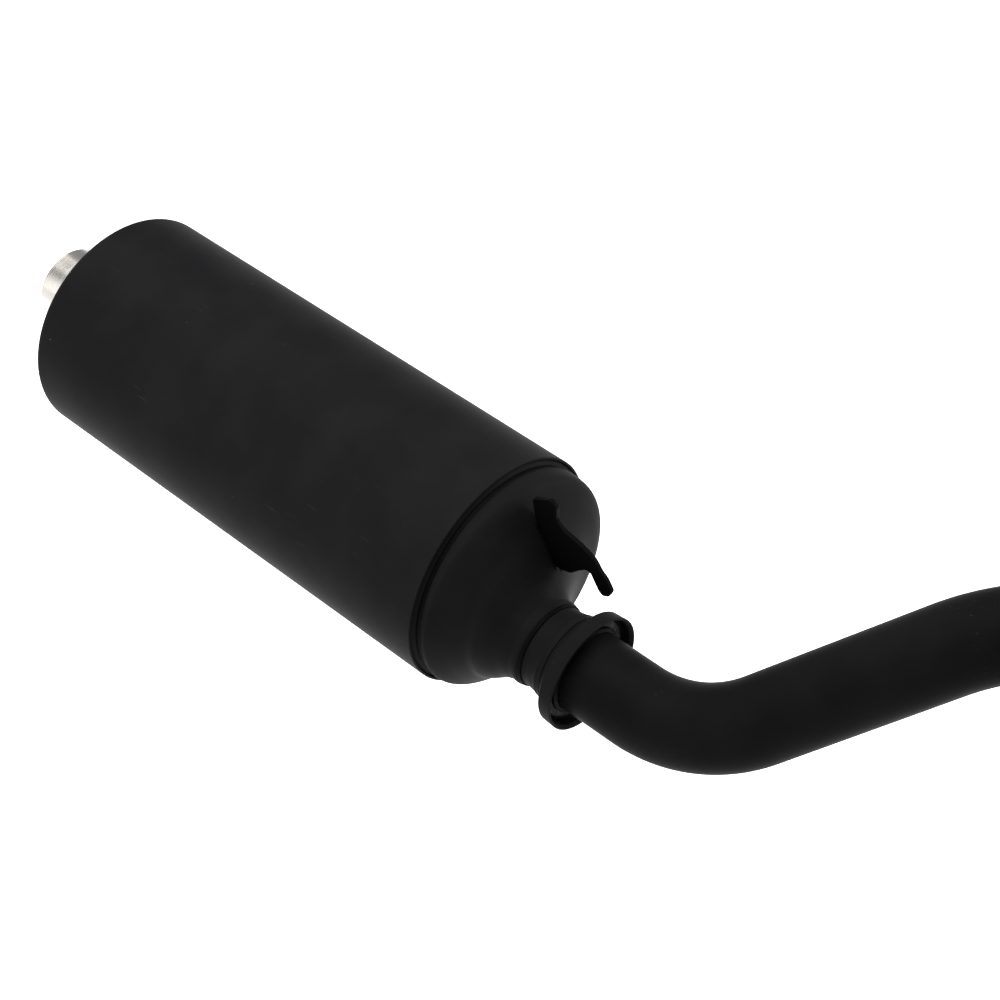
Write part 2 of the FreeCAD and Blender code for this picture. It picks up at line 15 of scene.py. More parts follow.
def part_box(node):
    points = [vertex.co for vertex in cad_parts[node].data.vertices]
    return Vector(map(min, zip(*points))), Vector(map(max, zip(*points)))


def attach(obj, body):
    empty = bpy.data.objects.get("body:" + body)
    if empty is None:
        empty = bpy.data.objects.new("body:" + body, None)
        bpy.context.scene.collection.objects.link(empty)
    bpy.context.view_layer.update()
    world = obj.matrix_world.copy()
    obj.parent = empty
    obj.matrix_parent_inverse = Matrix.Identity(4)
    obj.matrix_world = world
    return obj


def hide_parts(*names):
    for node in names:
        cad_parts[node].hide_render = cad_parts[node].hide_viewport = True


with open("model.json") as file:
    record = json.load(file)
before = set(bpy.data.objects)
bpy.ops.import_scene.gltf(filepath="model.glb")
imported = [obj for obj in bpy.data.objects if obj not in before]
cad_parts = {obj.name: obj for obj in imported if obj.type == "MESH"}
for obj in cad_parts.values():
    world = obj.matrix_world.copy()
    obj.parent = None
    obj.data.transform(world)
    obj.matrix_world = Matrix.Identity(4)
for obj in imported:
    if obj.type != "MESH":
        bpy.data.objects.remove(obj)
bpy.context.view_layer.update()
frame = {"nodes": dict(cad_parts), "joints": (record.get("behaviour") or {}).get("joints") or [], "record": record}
MM = 0.001
X_AXIS = Vector((1, 0, 0))

# Places read from the frame.
shell_low, shell_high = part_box("canister_shell")
SHELL_RADIUS = min(-shell_low.y, shell_high.y, -shell_low.z, shell_high.z)
INLET_FACE = shell_high.x
OUTLET_FACE = shell_low.x
cup_low, cup_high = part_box("gasket_cup")
NECK_SIDE = (cup_low.y + cup_high.y) / 2
CUP_RADIUS = (cup_high.z - cup_low.z) / 2
tip_low, tip_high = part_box("outlet_tip")
TIP_RADIUS = (tip_high.z - tip_low.z) / 2
plate_low, plate_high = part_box("hook_plate")
joints = {joint["name"]: joint for joint in frame["joints"]}
PORT_PLACE = Vector(joints["flange_spin"]["pos_m"])
PORT_AXIS = Vector(joints["flange_spin"]["axis"]).normalized()


# ---------------------------------------------------------------- camera, floor and light

CAMERA_FROM_INLET = Vector((7.8635, -8.4751, 12.1181))
CAMERA_RIGHT = Vector((0.73363, 0.67955, 0.0))
CAMERA_UP = Vector((-0.47591, 0.51384, 0.71374))
CAMERA_REACH = 0.0762
CAMERA_LENS = 77.2
SENSOR = 36.0


def make_camera():
    """A three-quarter view from above, on the inlet's side."""
    data = bpy.data.cameras.new("camera")
    camera = bpy.data.objects.new("camera", data)
    bpy.context.scene.collection.objects.link(camera)
    data.lens = CAMERA_LENS
    data.sensor_width = SENSOR
    data.clip_start = 0.05
    data.clip_end = 50.0
    right = CAMERA_RIGHT.normalized()
    up = CAMERA_UP.normalized()
    back = right.cross(up)
    turn = Matrix((right, up, back)).transposed()
    place = Vector((INLET_FACE, 0, 0)) + CAMERA_FROM_INLET * CAMERA_REACH
    camera.matrix_world = Matrix.Translation(place) @ turn.to_4x4()
    bpy.context.scene.camera = camera
    return camera


def add_area(name, place, target, size, power, tint):
    """A soft box at a place, facing a target."""
    data = bpy.data.lights.new(name, "AREA")
    data.shape = "RECTANGLE"
    data.size, data.size_y = size
    data.energy = power
    data.color = tint
    lamp = bpy.data.objects.new(name, data)
    bpy.context.scene.collection.objects.link(lamp)
    lamp.location = place
    facing = Vector(target) - Vector(place)
    lamp.rotation_euler = facing.to_track_quat("-Z", "Y").to_euler()
    return lamp


FLOOR_DROP = 0.55
FLOOR_REACH = 80.0
# Name, place, target, size, power in watts and tint of each soft box.
SOFT_BOXES = [
    ("overhead", (-0.1, -0.2, 1.5), (0.05, 0, 0), (1.6, 1.6), 34.0, (1, 1, 1)),
    ("left_box", (-0.9, -1.3, 0.6), (0.05, 0, 0), (1.0, 1.2), 6.0, (1.0, 0.99, 0.98)),
    ("right_box", (0.9, 1.2, 0.55), (0.2, 0, 0), (0.7, 0.9), 20.0, (1, 1, 1)),
    ("rear_box", (-1.3, 0.1, 0.5), (-0.2, 0, 0), (0.8, 0.8), 5.0, (1.0, 0.98, 0.95)),
]


def make_studio():
    """A pale floor well below the part, a pale world and soft boxes."""
    scene = bpy.context.scene
    scene.view_settings.view_transform = "Standard"
    world = bpy.data.worlds.new("studio")
    world.use_nodes = True
    scene.world = world
    background = world.node_tree.nodes["Background"]
    background.inputs["Color"].default_value = (0.96, 0.97, 1.0, 1)
    background.inputs["Strength"].default_value = 0.3
    mesh = bpy.data.meshes.new("floor")
    shaper = bmesh.new()
    bmesh.ops.create_grid(shaper, x_segments=2, y_segments=2, size=FLOOR_REACH)
    shaper.to_mesh(mesh)
    shaper.free()
    floor = bpy.data.objects.new("floor", mesh)
    floor.location = (0, 0, shell_low.z - FLOOR_DROP)
    scene.collection.objects.link(floor)
    material = bpy.data.materials.new("floor_paper")
    material.use_nodes = True
    shader = material.node_tree.nodes["Principled BSDF"]
    shader.inputs["Base Color"].default_value = (0.93, 0.93, 0.93, 1)
    shader.inputs["Roughness"].default_value = 0.9
    shader.inputs["Specular IOR Level"].default_value = 0.2
    shader.inputs["Emission Color"].default_value = (1, 1, 1, 1)
    shader.inputs["Emission Strength"].default_value = 0.95
    mesh.materials.append(material)
    for values in SOFT_BOXES:
        add_area(*values)


# ---------------------------------------------------------------- materials

class Shading:
    """A material with short calls for the nodes that these finishes share."""

    def __init__(self, name):
        self.material = bpy.data.materials.new(name)
        self.material.use_nodes = True
        self.tree = self.material.node_tree
        self.shader = self.tree.nodes["Principled BSDF"]
        self.coordinates = self.tree.nodes.new("ShaderNodeTexCoord").outputs["Object"]

    def put(self, socket, value):
        """Sets the shader's socket, or links a node's output to it."""
        target = self.shader.inputs[socket]
        if isinstance(value, bpy.types.NodeSocket):
            self.tree.links.new(value, target)
        else:
            target.default_value = value

    def node(self, kind, **values):
        node = self.tree.nodes.new(kind)
        for key, value in values.items():
            setattr(node, key, value)
        return node

    def link(self, value, socket):
        if isinstance(value, bpy.types.NodeSocket):
            self.tree.links.new(value, socket)
        else:
            socket.default_value = value

    def stretched(self, scale, turn=(0, 0, 0)):
        mapping = self.node("ShaderNodeMapping")
        self.tree.links.new(self.coordinates, mapping.inputs["Vector"])
        mapping.inputs["Scale"].default_value = scale
        mapping.inputs["Rotation"].default_value = turn
        return mapping.outputs["Vector"]

    def noise(self, scale, detail=2.0, vector=None, roughness=0.5):
        node = self.node("ShaderNodeTexNoise")
        self.link(vector or self.coordinates, node.inputs["Vector"])
        node.inputs["Scale"].default_value = scale
        node.inputs["Detail"].default_value = detail
        node.inputs["Roughness"].default_value = roughness
        return node.outputs["Fac"]

    def math(self, operation, first, second=0.0, clamp=False):
        node = self.node("ShaderNodeMath", operation=operation, use_clamp=clamp)
        self.link(first, node.inputs[0])
        self.link(second, node.inputs[1])
        return node.outputs["Value"]

    def span(self, value, low, high, start, end):
        """Maps a value from one range to another, clamped."""
        node = self.node("ShaderNodeMapRange")
        self.link(value, node.inputs["Value"])
        node.inputs["From Min"].default_value = low
        node.inputs["From Max"].default_value = high
        self.link(start, node.inputs["To Min"])
        self.link(end, node.inputs["To Max"])
        return node.outputs["Result"]

    def mix(self, share, first, second):
        node = self.node("ShaderNodeMix", data_type="RGBA")
        self.link(share, node.inputs["Factor"])
        self.link(first, node.inputs["A"])
        self.link(second, node.inputs["B"])
        return node.outputs["Result"]

    def bump(self, height, distance, strength=1.0, base=None):
        node = self.node("ShaderNodeBump")
        self.link(height, node.inputs["Height"])
        node.inputs["Distance"].default_value = distance
        node.inputs["Strength"].default_value = strength
        if base is not None:
            self.tree.links.new(base, node.inputs["Normal"])
        return node.outputs["Normal"]

    def along(self):
        """The place along X, in metres."""
        node = self.node("ShaderNodeSeparateXYZ")
        self.tree.links.new(self.coordinates, node.inputs["Vector"])
        return node.outputs["X"]


def grey(level, warm=0.0):
    return (level * (1.03 + warm), level, level * (1.03 - warm), 1)


def make_coating(name, dark, pale, rough, grain, scratches, gloss=0.015, dust_end=None):
    """Sprayed high-temperature black: grain, faint mottling, hairline scratches and dust."""
    look = Shading(name)
    mottling = look.noise(26.0, 3.0)
    colour = look.mix(look.span(mottling, 0.35, 0.65, 0.0, 1.0), grey(dark, -0.04), grey(pale))
    cloud = look.noise(9.0, 2.0)
    roughness = look.span(cloud, 0.3, 0.7, rough - 0.035, rough + 0.035)
    spray = look.noise(1500.0, 2.0, roughness=0.6)
    roughness = look.math("ADD", roughness, look.span(spray, 0.3, 0.7, -0.03, 0.03))
    lines = 0.0
    for number, turn in enumerate(((0.3, 0.2, 0.9), (0.1, 0.5, -0.6), (-0.4, 0.9, 2.2))):
        vector = look.stretched((36.0 + 9 * number, 2000.0, 2000.0), turn)
        line = look.span(look.noise(1.0, 0.0, vector), 0.82, 0.86, 0.0, 1.0)
        patch = look.span(look.noise(11.0 + 4 * number, 1.0), 0.6, 0.66, 0.0, 1.0)
        lines = look.math("MAXIMUM", lines, look.math("MULTIPLY", line, patch))
    lines = look.math("MULTIPLY", lines, scratches)
    colour = look.mix(lines, colour, grey(0.09))
    if dust_end is not None:
        cells = look.node("ShaderNodeTexVoronoi")
        look.tree.links.new(look.coordinates, cells.inputs["Vector"])
        cells.inputs["Scale"].default_value = 190.0
        speck = look.span(cells.outputs["Distance"], 0.03, 0.055, 1.0, 0.0)
        chosen = look.node("ShaderNodeSeparateColor")
        look.tree.links.new(cells.outputs["Color"], chosen.inputs["Color"])
        rare = look.span(chosen.outputs["Red"], 0.955, 0.965, 0.0, 1.0)
        near = look.span(look.along(), dust_end, dust_end + 0.25, 1.0, 0.12)
        speck = look.math("MULTIPLY", look.math("MULTIPLY", speck, rare), near)
        colour = look.mix(speck, colour, grey(0.3))
        roughness = look.math("ADD", roughness, look.math("MULTIPLY", speck, 0.3))
    look.put("Base Color", colour)
    look.put("Roughness", roughness)
    peel = look.bump(look.noise(420.0, 1.0), 0.00006 * grain, 0.6)
    look.put("Normal", look.bump(spray, 0.00003 * grain, 0.7, peel))
    look.put("Specular IOR Level", gloss)
    return look.material


def make_steel(name, pale, dark, rough, brush=(1400.0, 9.0, 9.0), tint=None):
    """Brushed stainless: fine lines across the stretch, with soft stains and heat tint."""
    look = Shading(name)
    look.put("Metallic", 1.0)
    lines = look.noise(1.0, 3.0, look.stretched(brush))
    stains = look.noise(45.0, 3.0)
    colour = look.mix(look.span(stains, 0.3, 0.75, 0.0, 1.0), pale, dark)
    if tint is not None:
        start, end = tint
        shift = look.math("ADD", look.along(), look.math("MULTIPLY", stains, 0.012))
        heat = look.span(shift, start, end, 0.0, 1.0)
        ramp = look.node("ShaderNodeValToRGB")
        look.link(heat, ramp.inputs["Fac"])
        stops = ramp.color_ramp.elements
        stops[0].position, stops[0].color = 0.0, pale
        stops[1].position, stops[1].color = 1.0, (0.12, 0.13, 0.3, 1)
        for position, stop in ((0.35, (0.8, 0.62, 0.33, 1)), (0.65, (0.5, 0.26, 0.22, 1))):
            ramp.color_ramp.elements.new(position).color = stop
        colour = look.mix(look.span(heat, 0.02, 0.3, 0.0, 0.75), colour, ramp.outputs["Color"])
    look.put("Base Color", colour)
    look.put("Roughness", look.span(lines, 0.25, 0.75, rough - 0.08, rough + 0.1))
    look.put("Normal", look.bump(lines, 0.00002, 0.8))
    return look.material


def make_weld(name, coated):
    """A weld bead: scaly ripples, left straw and blue, or sprayed black and darkened past the other coatings as
    painted shade.
    """
    look = Shading(name)
    scale = look.noise(700.0, 4.0, roughness=0.7)
    if coated:
        # Near-black, darker than the sprayed coatings: painted shade for the inlet groove, the hook plate's face
        # and the beads.
        colour = look.mix(scale, grey(0.0015), grey(0.0035))
        look.put("Roughness", look.span(scale, 0.3, 0.7, 0.42, 0.62))
        look.put("Specular IOR Level", 0.02)
    else:
        tint = look.span(look.noise(90.0, 2.0), 0.35, 0.65, 0.0, 1.0)
        colour = look.mix(tint, (0.34, 0.27, 0.2, 1), (0.2, 0.2, 0.32, 1))
        look.put("Metallic", 1.0)
        look.put("Roughness", look.span(scale, 0.3, 0.7, 0.3, 0.5))
    look.put("Base Color", colour)
    look.put("Normal", look.bump(scale, 0.00008, 0.7))
    return look.material


def make_graphite(name):
    """Pressed graphite over knitted wire: dark graphite, deepened as painted shade for the inside of the cup, with
    small bright loops of wire.
    """
    look = Shading(name)
    cells = look.node("ShaderNodeTexVoronoi", feature="DISTANCE_TO_EDGE")
    look.tree.links.new(look.coordinates, cells.inputs["Vector"])
    cells.inputs["Scale"].default_value = 620.0
    wire = look.span(cells.outputs["Distance"], 0.03, 0.12, 1.0, 0.0)
    worn = look.math("MULTIPLY", wire, look.span(look.noise(160.0, 2.0), 0.45, 0.6, 0.0, 1.0))
    # grey(0.0045) is graphite's own dark deepened into painted shade for the inside of the cup; the worn wire
    # keeps its own colour.
    look.put("Base Color", look.mix(worn, grey(0.0045), grey(0.035)))
    look.put("Metallic", look.math("MULTIPLY", worn, 0.5))
    look.put("Specular IOR Level", 0.08)
    look.put("Roughness", look.span(look.noise(300.0, 2.0), 0.3, 0.7, 0.45, 0.7))
    look.put("Normal", look.bump(wire, 0.0001, 0.8))
    return look.material


def make_fibre(name, pale, dark, scale, metallic=0.0):
    """Matted fibres: two crossed sets of fine lines over a soft cloud."""
    look = Shading(name)
    cross = look.noise(1.0, 4.0, look.stretched((scale, scale * 0.06, scale), (0.4, 0.9, 0.2)))
    weft = look.noise(1.0, 4.0, look.stretched((scale, scale, scale * 0.05), (-0.6, 0.3, 1.1)))
    strands = look.math("MAXIMUM", cross, weft)
    look.put("Base Color", look.mix(look.span(strands, 0.4, 0.75, 0.0, 1.0), dark, pale))
    look.put("Metallic", metallic)
    look.put("Roughness", look.span(strands, 0.4, 0.75, 0.85, 0.55))
    look.put("Normal", look.bump(strands, 0.0006, 0.9))
    return look.material


def make_copper(name):
    """A soft copper crush ring with turning marks and a light brown bloom."""
    look = Shading(name)
    bloom = look.span(look.noise(120.0, 3.0), 0.4, 0.7, 0.0, 1.0)
    look.put("Base Color", look.mix(bloom, (0.8, 0.42, 0.27, 1), (0.42, 0.2, 0.13, 1)))
    look.put("Metallic", 1.0)
    look.put("Roughness", look.span(look.noise(500.0, 2.0), 0.3, 0.7, 0.28, 0.42))
    look.put("Normal", look.bump(look.noise(900.0, 1.0), 0.00002, 0.6))
    return look.material


finish = {
    "black_shell": make_coating("shell_coating", 0.0082, 0.0104, 0.5, 1.0, 0.4,
                                dust_end=OUTLET_FACE),
    "black_cone": make_coating("cone_coating", 0.0065, 0.0085, 0.54, 1.3, 0.15),
    "black_pipe": make_coating("pipe_coating", 0.005, 0.0068, 0.48, 1.0, 0.3),
    "black_weld": make_weld("coated_weld_painted_shade", True),
    "weld_steel": make_weld("bare_weld", False),
    "bright_steel": make_steel("bright_stainless", (0.74, 0.71, 0.67, 1), (0.6, 0.57, 0.53, 1),
                               0.24, tint=(OUTLET_FACE - 0.012, OUTLET_FACE + 0.02)),
    "plain_steel": make_steel("rolled_stainless", (0.52, 0.5, 0.48, 1), (0.34, 0.31, 0.29, 1),
                              0.38, brush=(12.0, 900.0, 900.0)),
    "flange_steel": make_coating("flange_coating", 0.0065, 0.009, 0.5, 1.8, 0.5),
    "steel_wool": make_fibre("stainless_wool", grey(0.55), grey(0.12), 1500.0, 0.8),
    "glass_fibre": make_fibre("glass_fibre", (0.85, 0.82, 0.74, 1), (0.5, 0.46, 0.38, 1), 900.0),
    "graphite": make_graphite("graphite_knit_and_shade"),
    "copper": make_copper("crush_copper"),
}


# ---------------------------------------------------------------- mesh helpers

SUPPORT = 0.35
BEAD_SIDES = 12


def softened(corners):
    """A profile whose corners (place, radius, rounding in mm) are turned into short arcs."""
    points = []
    count = len(corners)
    for index, (along, out, rounding) in enumerate(corners):
        here = Vector((along, out))
        before = Vector(corners[index - 1][:2]) - here
        after = Vector(corners[(index + 1) % count][:2]) - here
        if rounding == 0:
            points.append(here)
            continue
        half = before.angle(after) / 2
        room = 0.46 * min(before.length, after.length)
        reach = min(rounding / math.tan(half), room)
        arc = reach * math.tan(half)
        back = before.normalized()
        ahead = after.normalized()
        middle = here + (back + ahead).normalized() * (arc / math.sin(half))
        start = here + back * reach
        end = here + ahead * reach
        if before.length / 2 > reach + SUPPORT:
            points.append(start + back * SUPPORT)
        steps = 8 if rounding > 2 else 4
        sweep = (start - middle).angle_signed(end - middle)
        for step in range(steps + 1):
            turn = Matrix.Rotation(-sweep * step / steps, 2)
            points.append(middle + turn @ (start - middle))
        if after.length / 2 > reach + SUPPORT:
            points.append(end + ahead * SUPPORT)
    return points


def join_loops(shaper, loops, pairs):
    """Faces between each loop and the next, the last one joining the first if pairs reach it."""
    segments = len(loops[0])
    for index in range(pairs):
        loop, other = loops[index], loops[(index + 1) % len(loops)]
        for step in range(segments):
            ahead = (step + 1) % segments
            shaper.faces.new((loop[step], loop[ahead], other[ahead], other[step]))


def linked_piece(name, mesh, shaper):
    """Writes the shaper to the mesh and puts it in the scene as an object."""
    shaper.to_mesh(mesh)
    shaper.free()
    piece = bpy.data.objects.new(name, mesh)
    bpy.context.scene.collection.objects.link(piece)
    return piece


def rings_mesh(name, rings, segments, shape=None, place=None):
    """A closed skin through round rings (along, side, radius, lean) in mm."""
    mesh = bpy.data.meshes.new(name)
    shaper = bmesh.new()
    loops = []
    for along, side, radius, lean in rings:
        loop = []
        for step in range(segments):
            angle = 2 * math.pi * step / segments
            out = radius + (shape(along, radius, angle) if shape else 0.0)
            across = out * math.cos(angle)
            point = Vector((along + across * math.sin(math.radians(lean)),
                            side + across * math.cos(math.radians(lean)),
                            out * math.sin(angle)))
            loop.append(shaper.verts.new(point * MM))
        loops.append(loop)
    join_loops(shaper, loops, len(loops))
    bmesh.ops.recalc_face_normals(shaper, faces=shaper.faces)
    for face in shaper.faces:
        face.smooth = True
    if place is not None:
        shaper.transform(place)
    return linked_piece(name, mesh, shaper)


def settle(piece, node, body, slot_name):
    """Gives a piece its finish and its body, and hides the node it stands for."""
    piece.data.materials.clear()
    piece.data.materials.append(finish[slot_name])
    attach(piece, body)
    if node:
        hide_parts(node)
    return piece


def turned(name, corners, segments=192, side=0.0, shape=None, place=None):
    """A turned piece from a softened profile, on the muffler's or the neck's axis."""
    rings = [(point.x, side, point.y, 0.0) for point in softened(corners)]
    return rings_mesh(name, rings, segments, shape, place)


def bead_mesh(name, points, outward, size, pitch, closed, lumps=0.1, wide=1.0):
    """A weld bead laid along points: a tube whose crescents follow each other at a pitch."""
    mesh = bpy.data.meshes.new(name)
    shaper = bmesh.new()
    chance = random.Random(name)
    count = len(points)
    travelled = 0.0
    loops = []
    for index in range(count):
        here = points[index]
        ahead = points[(index + 1) % count] if closed or index < count - 1 else here
        behind = points[index - 1] if closed or index else here
        along = (ahead - behind).normalized()
        out = (outward[index] - along * outward[index].dot(along)).normalized()
        side = along.cross(out)
        wander = 1 + 0.05 * chance.uniform(-1, 1)
        taper = 1.0
        if not closed:
            taper = min(1.0, 0.25 + min(index, count - 1 - index) / 8)
        loop = []
        for step in range(BEAD_SIDES):
            angle = 2 * math.pi * step / BEAD_SIDES
            phase = travelled / pitch + 0.22 * math.cos(angle)
            crest = abs(math.sin(math.pi * phase)) ** 0.6
            radius = size * taper * wander * (1 - lumps + lumps * crest)
            point = here + (out * math.cos(angle) + side * (wide * math.sin(angle))) * radius
            loop.append(shaper.verts.new(point * MM))
        loops.append(loop)
        travelled += (ahead - here).length
    join_loops(shaper, loops, count if closed else count - 1)
    if not closed:
        shaper.faces.new(loops[0])
        shaper.faces.new(loops[-1])
    bmesh.ops.recalc_face_normals(shaper, faces=shaper.faces)
    for face in shaper.faces:
        face.smooth = True
    return linked_piece(name, mesh, shaper)


def ring_bead(name, along, radius, size, pitch, side=0.0, lumps=0.1, wide=1.0):
    """A bead that runs all the way round an axis."""
    crescents = round(2 * math.pi * radius / pitch)
    count = crescents * 7
    pitch = 2 * math.pi * radius / crescents
    points = []
    outward = []
    for step in range(count):
        angle = 2 * math.pi * step / count
        out = Vector((0, math.cos(angle), math.sin(angle)))
        points.append(Vector((along, side, 0)) + out * radius)
        outward.append(out)
    return bead_mesh(name, points, outward, size, pitch, True, lumps, wide)


# ---------------------------------------------------------------- canister and outlet

FACE = INLET_FACE / MM
REAR = OUTLET_FACE / MM
RADIUS = SHELL_RADIUS / MM
NECK = NECK_SIDE / MM
WALL = 1.6


def seam_ridge(along, radius, angle):
    """The canister's lengthwise seam, ground nearly flush, low on its far side."""
    if radius < RADIUS - 1:
        return 0.0
    away = math.remainder(angle - math.radians(300), 2 * math.pi) * radius
    return 0.22 * math.exp(-(away / 1.6) ** 2)


def make_canister():
    inner = RADIUS - WALL
    corners = [
        (FACE, RADIUS, 0.45),
        (REAR, RADIUS, 8.5),
        (REAR, RADIUS - 9.4, 0.6),
        (REAR + WALL, RADIUS - 9.4, 0.3),
        (REAR + WALL, inner, 6.9),
        (FACE, inner, 0.3),
    ]
    shell = turned("canister", corners, 512, shape=seam_ridge)
    settle(shell, "canister_shell", "muffler", "black_shell")
    seat = REAR + WALL + 0.1
    rise = seat - 2.85
    cap = turned("end_plate", [
        (seat, 67.4, 0.4), (seat, 61.0, 1.6), (rise, 57.0, 1.8), (rise, 31.5, 2.2),
        (rise - 4.8, TIP_RADIUS / MM + 2.0, 0.5), (rise - 4.8, TIP_RADIUS / MM - 0.5, 0.2),
        (rise + WALL, TIP_RADIUS / MM - 0.5, 0.2), (rise + WALL, 56.0, 1.2),
        (seat + WALL, 60.0, 1.6), (seat + WALL, 67.4, 0.4)], 256)
    settle(cap, "outlet_cap", "muffler", "black_shell")


def make_outlet():
    end = tip_low.x / MM
    outer = TIP_RADIUS / MM
    weld_low, weld_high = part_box("outlet_weld")
    step = weld_low.x / MM - 0.2
    tip = turned("outlet_pipe", [
        (end, outer, 0.7), (step, outer, 0.2), (step, outer - 0.6, 0.1),
        (tip_high.x / MM, outer - 0.6, 0.2), (tip_high.x / MM, outer - 1.5, 0.2),
        (end, outer - 1.5, 0.7)], 192)
    settle(tip, "outlet_tip", "muffler", "bright_steel")
    place = weld_high.x / MM - 0.5
    bead = ring_bead("outlet_bead", place, outer + 0.35, 1.5, 2.3, lumps=0.16)
    settle(bead, "outlet_weld", "muffler", "weld_steel")


# ---------------------------------------------------------------- cone, neck and cup

SHOULDER = 6.0
CONE_END = 54.0
SHOULDER_RADIUS = 72.5
NECK_RADIUS = 27.6
# Shares of the cone's length, narrowing and drift, and each section's lean in degrees.
CONE_SHAPE = [(0.0, 0.0, 0.0, 0.0), (0.17, 0.025, 0.045, 3.6), (0.33, 0.21, 0.075, 2.6),
              (0.46, 0.425, 0.265, 0.8), (0.58, 0.585, 0.515, 0.0), (0.71, 0.75, 0.735, 0.0),
              (0.85, 0.9, 0.885, 0.0), (1.0, 1.0, 1.0, 0.0)]


def cone_section(share):
    """The narrowing, drift and lean at a share of the cone's length, on smooth curves."""
    last = len(CONE_SHAPE) - 1
    index = max(i for i in range(last) if CONE_SHAPE[i][0] <= share or i == 0)
    knots = [CONE_SHAPE[min(max(index + shift, 0), last)] for shift in (-1, 0, 1, 2)]
    start, end = knots[1][0], knots[2][0]
    part = (share - start) / (end - start)
    values = []
    for column in (1, 2, 3):
        first = (knots[2][column] - knots[0][column]) / max(knots[2][0] - knots[0][0], 1e-6)
        second = (knots[3][column] - knots[1][column]) / max(knots[3][0] - knots[1][0], 1e-6)
        width = end - start
        square, cube = part ** 2, part ** 3
        values.append(knots[1][column] * (2 * cube - 3 * square + 1)
                      + first * width * (cube - 2 * square + part)
                      + knots[2][column] * (3 * square - 2 * cube)
                      + second * width * (cube - square))
    return values


def cone_ring(share, thinner):
    narrowed, drift, lean = cone_section(share)
    radius = SHOULDER_RADIUS - (SHOULDER_RADIUS - NECK_RADIUS) * narrowed - thinner
    along = FACE + SHOULDER + share * (CONE_END - SHOULDER)
    return (along, NECK * drift, radius, lean)


def make_cone():
    """The spun cone from its skirt in the canister to the end of its neck."""
    skirt = RADIUS - WALL - 0.2
    groove = 71.4
    rings = [(FACE - 8, 0, skirt - 0.4, 0), (FACE - 7.6, 0, skirt, 0), (FACE - 1.2, 0, skirt, 0),
             (FACE - 0.8, 0, skirt - 0.5, 0), (FACE + 0.4, 0, groove + 0.4, 0),
             (FACE + 0.9, 0, groove, 0), (FACE + 3.6, 0, groove, 0),
             (FACE + 4.4, 0, groove + 0.15, 0),
             (FACE + 5.2, 0, groove + 0.75, 0), (FACE + 5.7, 0, SHOULDER_RADIUS - 0.08, 0)]
    steps = 72
    rings += [cone_ring(step / steps, 0.0) for step in range(steps + 1)]
    collar = ((56, 27.65), (57.4, 27.8), (58.8, 27.85), (60, 27.7), (60.8, 27.2), (61, 26.7))
    for along, out in collar:
        rings.append((FACE + along, NECK, out, 0))
    rings += [(FACE + 60.8, NECK, 26.1, 0), (FACE + 54.2, NECK, 26.0, 0)]
    rings += [cone_ring(1 - step / 24, 2.2) for step in range(25)]
    rings += [(FACE + 1, 0, 70.0, 0), (FACE - 0.6, 0, 70.2, 0), (FACE - 3, 0, skirt - 1.6, 0),
              (FACE - 7.8, 0, skirt - 1.6, 0)]
    cone = rings_mesh("spun_cone", rings, 256)
    settle(cone, "inlet_cone", "muffler", "black_cone")
    # The bead nearly fills the groove; its near-black finish is painted shade, the groove's dark band.
    bead = ring_bead("cone_bead", FACE + 2.4, 71.0, 0.9, 2.1, lumps=0.16, wide=2.3)
    settle(bead, "cone_weld", "muffler", "black_weld")
    tack = math.radians(30)
    out = Vector((0, math.cos(tack), math.sin(tack)))
    line = [Vector((FACE + 2.6 + 0.5 * step, 0, 0)) + out * (71.5 + 0.16 * min(step, 6))
            for step in range(13)]
    mark = bead_mesh("tack_bead", line, [out] * len(line), 0.8, 1.6, False, 0.2)
    settle(mark, None, "muffler", "black_weld")


def make_neck():
    """The flaring sleeve, the cup with its rolled rim, and the beads between them."""
    sleeve = turned("sleeve", [
        (FACE + 54.5, 26.0, 0.3), (FACE + 66.5, 25.9, 6.0), (FACE + 71.5, 26.7, 4.0),
        (FACE + 74.6, 27.7, 0.5), (FACE + 75.3, 27.5, 0.4), (FACE + 78.6, 27.6, 0.2),
        (FACE + 78.6, 25.4, 0.2), (FACE + 76, 25.4, 1.0), (FACE + 68, 24.2, 1.0),
        (FACE + 54.5, 24.2, 0.3)], 192, NECK)
    settle(sleeve, "socket_sleeve", "muffler", "black_cone")
    seat = [(80.6, 28.2, 0.3), (82.6, 30.4, 0.5), (84.6, 32.4, 0.5)]
    cup = turned("cup", [
        (FACE + 78.8, 25.5, 0.2), (FACE + 78.8, 27.9, 0.8), (FACE + 82, 31.5, 2.5),
        (FACE + 84.6, 34.5, 0.5), (FACE + 85.4, CUP_RADIUS / MM - 0.6, 0.7),
        (FACE + 94.5, CUP_RADIUS / MM, 0.5),
        (FACE + 94.5, CUP_RADIUS / MM - 1.1, 0.4), (FACE + 92.4, 34.4, 0.8),
        (FACE + 86.6, 34.3, 1.0)]
        + [(FACE + along, out, edge) for along, out, edge in reversed(seat)], 256, NECK)
    settle(cup, "gasket_cup", "muffler", "black_cone")
    bead = ring_bead("neck_bead", FACE + 61.8, 26.3, 0.9, 1.9, NECK, 0.14, 1.5)
    settle(bead, "neck_weld", "muffler", "black_weld")
    bead = ring_bead("cup_bead", FACE + 78.5, 27.7, 0.6, 1.7, NECK, 0.14)
    settle(bead, "cup_weld", "muffler", "black_weld")


